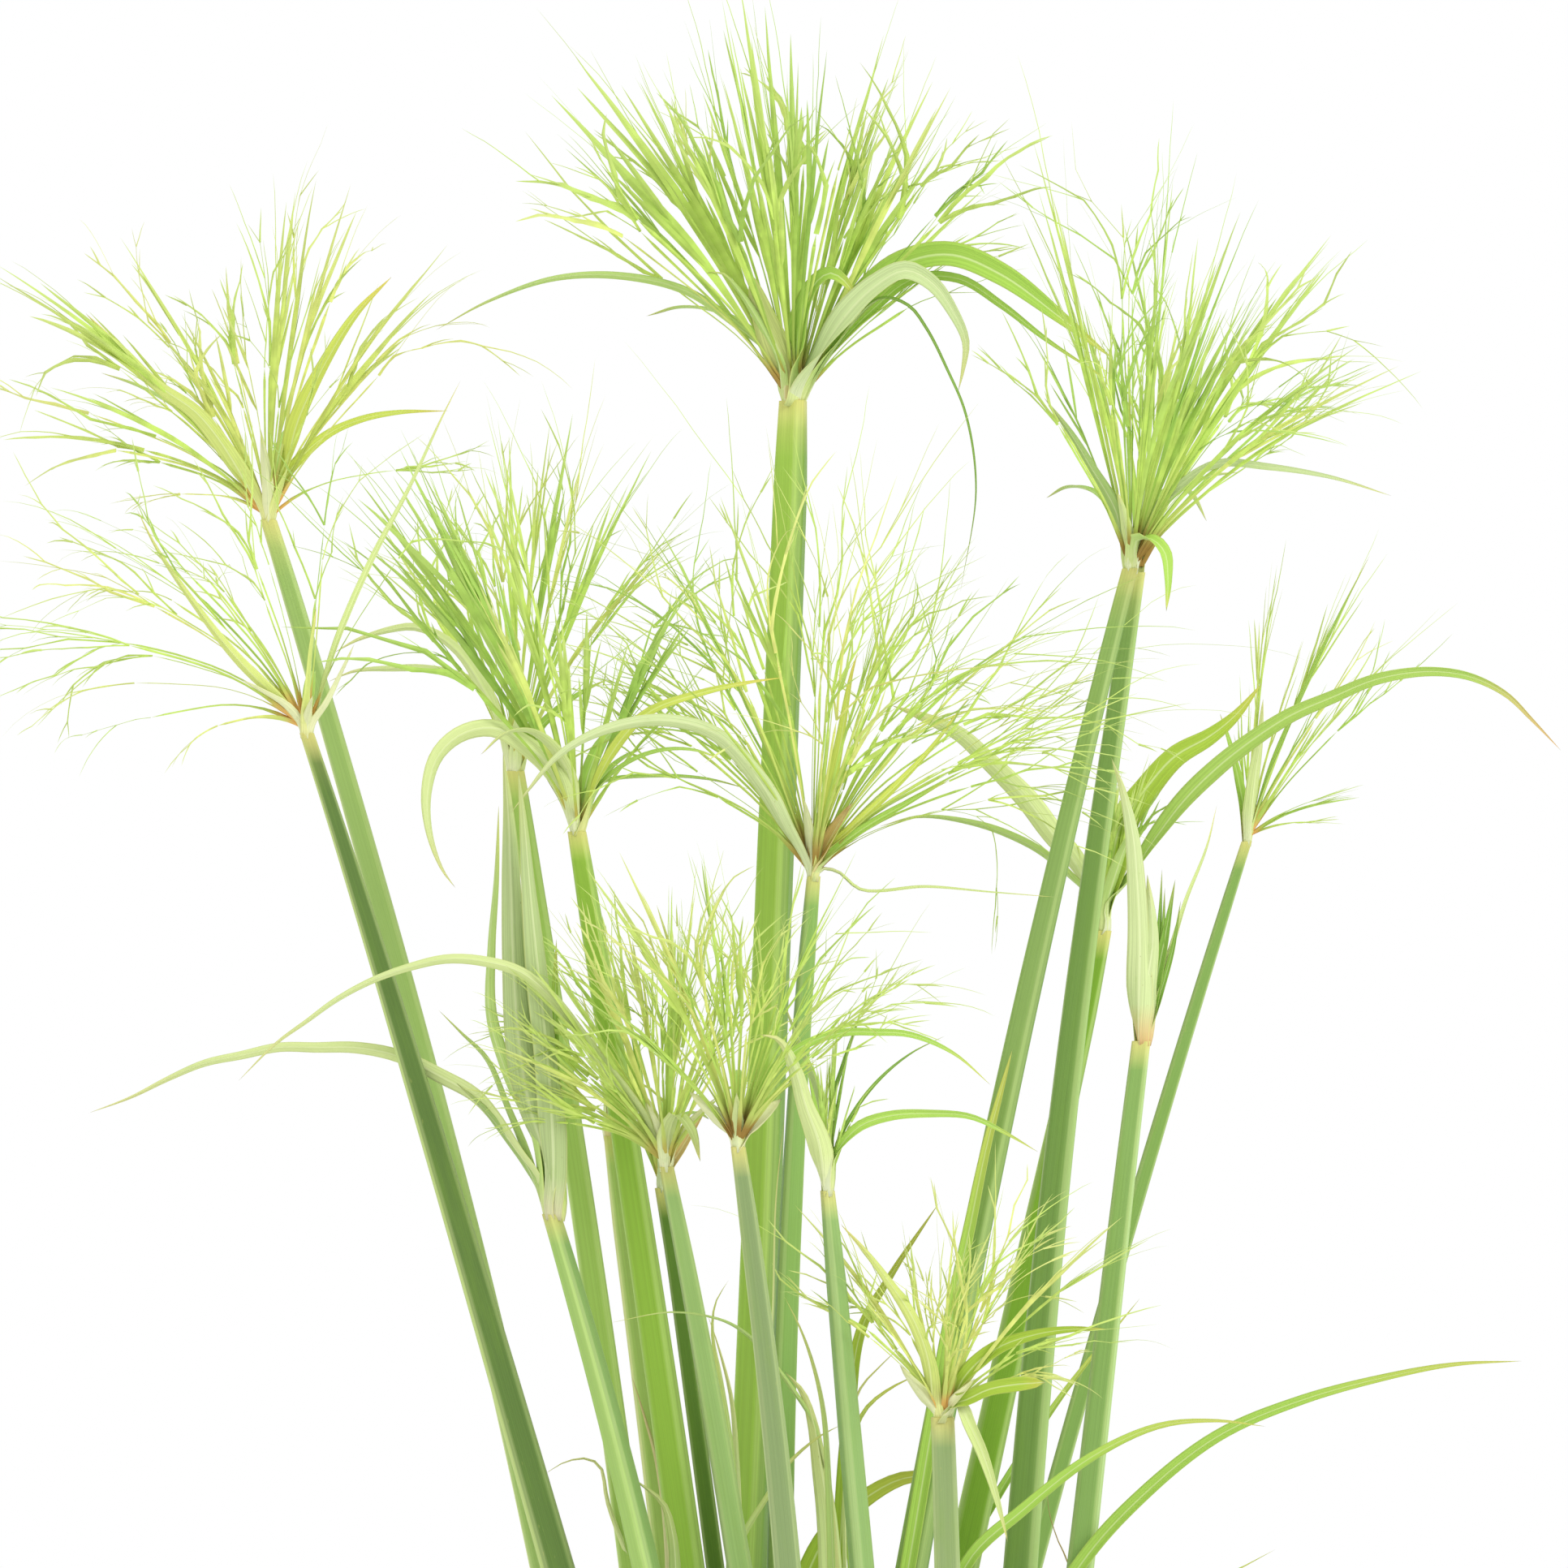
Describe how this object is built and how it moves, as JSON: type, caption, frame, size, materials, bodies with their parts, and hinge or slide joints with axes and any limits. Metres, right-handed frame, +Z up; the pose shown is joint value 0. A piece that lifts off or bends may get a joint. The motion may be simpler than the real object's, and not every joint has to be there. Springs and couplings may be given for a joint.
{
  "type": "potted papyrus plant",
  "caption": "Papyrus plant in a plain round pot: tall leaning stems topped with whorls of arching bracts and plumes of fine rays.",
  "frame": {"origin": "centre of the pot's underside, on the surface that it stands on", "axes": "+Z up along the pot's axis; -Y is the side that faces the viewer, +X is the viewer's right"},
  "size_m": [0.6403, 0.3978, 0.9673],
  "materials": {
    "pot_plastic": "satin moulded",
    "soil": "rough and crumbly",
    "stem": "satin waxy green with fine ribs",
    "bract": "satin leaf with fine veins",
    "ray": "satin thread-like green",
    "leaf": "satin leaf with fine veins",
    "shoot": "satin pale sheath"
  },
  "bodies": {
    "root": {"pot": "pot_plastic", "soil": "soil", "stem_01": "stem", "stem_02": "stem", "stem_03": "stem", "stem_04": "stem", "stem_05": "stem", "stem_06": "stem", "stem_07": "stem", "stem_08": "stem", "stem_09": "stem", "stem_10": "stem", "stem_11": "stem", "stem_12": "stem", "stem_13": "stem", "stem_14": "stem", "stem_15": "stem", "stem_16": "stem", "stem_17": "stem", "stem_18": "stem", "young_shoot": "shoot", "leaf_01": "leaf", "leaf_02": "leaf", "leaf_03": "leaf", "leaf_04": "leaf", "leaf_05": "leaf", "leaf_06": "leaf", "bracts_01": "bract", "bracts_02": "bract", "bracts_03": "bract", "bracts_04": "bract", "bracts_05": "bract", "bracts_06": "bract", "bracts_07": "bract", "bracts_08": "bract", "bracts_09": "bract", "bracts_10": "bract", "bracts_11": "bract", "bracts_12": "bract", "bracts_13": "bract", "bracts_14": "bract", "bracts_15": "bract", "bracts_16": "bract", "bracts_17": "bract", "bracts_18": "bract", "rays_01": "ray", "rays_02": "ray", "rays_03": "ray", "rays_04": "ray", "rays_05": "ray", "rays_06": "ray", "rays_07": "ray", "rays_08": "ray", "rays_09": "ray", "rays_10": "ray", "rays_11": "ray", "rays_12": "ray", "rays_14": "ray", "rays_16": "ray", "rays_17": "ray"}
  },
  "joints": []
}
